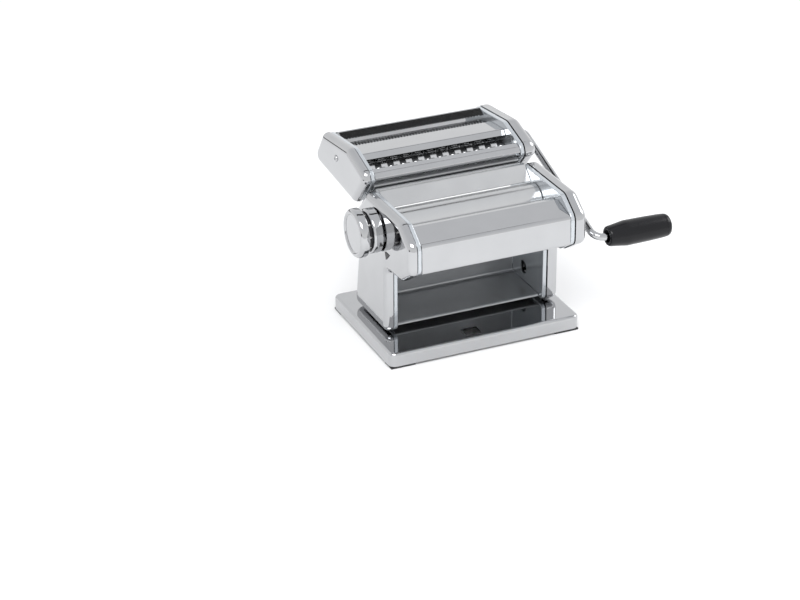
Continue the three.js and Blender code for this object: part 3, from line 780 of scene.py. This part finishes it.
fit("grip", grip, black_plastic, "crank_grip")

# ---- hidden works: gears, sockets, bearings, tie rods and the dial's inner parts ----
# These stay as they are built, each in its own finish, mostly plain steel or natural nylon.
nylon = finish(
    "natural nylon", (0.70, 0.69, 0.65), (0.76, 0.75, 0.71),
    metallic=0.0, rough=0.42, vary=0.12, stretch=(1, 1, 1), grain=800.0, relief=0.2,
)
by_slot = {
    "plain_steel": plain_steel,
    "nylon": nylon,
    "black_plastic": ink,
    "chrome": chrome,
    "satin_steel": satin,
    "zinc_plate": zinc,
    "roller_aluminium": aluminium,
    "rubber": rubber,
}
for node, built in frame["nodes"].items():
    if not built.hide_render and not node.startswith("foot"):
        built.data.materials.clear()
        built.data.materials.append(by_slot[slot_of_node[node]])

# ---- studio: a pale sweep of floor, soft lights and dark cards for the chrome to reflect ----
# The floor is plain and pale. Two large lights hang over it, and the cards stand out of shot.
def matt(name, grey, rough):
    """An even matt surface for what isn't part of the machine."""
    material = bpy.data.materials.new(name)
    material.use_nodes = True
    shader = material.node_tree.nodes["Principled BSDF"]
    shader.inputs["Base Color"].default_value = (grey, grey, grey, 1)
    shader.inputs["Roughness"].default_value = rough
    return material


def panel(name, corners, material):
    """A flat four-cornered surface, kept out of the machine's own pieces."""
    mesh = bpy.data.meshes.new(name)
    mesh.from_pydata(corners, [], [(0, 1, 2, 3)])
    mesh.materials.append(material)
    card = bpy.data.objects.new(name.replace(" ", "-"), mesh)
    bpy.context.collection.objects.link(card)
    return card


ground = cad_bounds[0][2]
paper = matt("pale paper", 0.93, 0.9)
panel("floor", [(-4, -4, ground), (4, -4, ground), (4, 4, ground), (-4, 4, ground)], paper)

dark = matt("dark card", 0.03, 1)
card_corners = {
    "left card": [(-1.1, -0.5, 0.0), (-1.1, -0.1, 0.0), (-1.1, -0.1, 0.16), (-1.1, -0.5, 0.16)],
    "rear card": [(-0.9, 1.3, 0.02), (0.9, 1.3, 0.02), (0.9, 1.3, 0.16), (-0.9, 1.3, 0.16)],
    "top card": [(-0.5, 0.25, 1.1), (0.5, 0.25, 1.1), (0.5, 0.45, 1.1), (-0.5, 0.45, 1.1)],
}
cards = [panel(name, corners, dark) for name, corners in card_corners.items()]
for card in cards:
    card.visible_camera = False
    card.visible_shadow = False
    card.visible_diffuse = False

world = bpy.data.worlds.new("studio")
bpy.context.scene.world = world
world.use_nodes = True
sky = Wire(world.node_tree, None)
height = sky.node("ShaderNodeSeparateXYZ", out=2, Vector=sky.node("ShaderNodeTexCoord", out=0))
shade = height.node("ShaderNodeMapRange", Value=height, From_Min=0.0, From_Max=0.9)
background = world.node_tree.nodes["Background"]
zenith = shade.blend((1.0, 1.0, 1.0), (0.78, 0.79, 0.81))
world.node_tree.links.new(zenith.socket, background.inputs["Color"])
background.inputs["Strength"].default_value = 1.08


def soft_light(name, where, towards, size, power):
    """A wide lamp at a place, facing another."""
    light = bpy.data.lights.new(name, "AREA")
    light.shape = "RECTANGLE"
    light.size, light.size_y = size
    light.energy = power
    holder = bpy.data.objects.new(name, light)
    bpy.context.collection.objects.link(holder)
    holder.location = where
    holder.rotation_euler = (Vector(towards) - Vector(where)).to_track_quat("-Z", "Y").to_euler()


MIDDLE = (0, 0, 0.08)
soft_light("key light", (-0.7, -0.9, 1.5), MIDDLE, (1.1, 0.7), 16)
soft_light("fill light", (1.3, -0.2, 1.0), MIDDLE, (0.7, 0.9), 8)

lens = bpy.data.cameras.new("camera")
lens.sensor_width = 36
lens.lens = 107.44
lens.clip_start = 0.05
camera = bpy.data.objects.new("camera", lens)
bpy.context.collection.objects.link(camera)
camera.location = at(-879.81, -1819.27, 1053.39)
AZIMUTH, ELEVATION, ROLL = math.radians(-23.4696), math.radians(26.6947), math.radians(-0.5673)
upright = Euler((math.pi / 2 - ELEVATION, 0, AZIMUTH)).to_quaternion()
camera.rotation_euler = (upright @ Quaternion((0, 0, 1), ROLL)).to_euler()
bpy.context.scene.camera = camera
bpy.context.scene.view_settings.view_transform = "Standard"
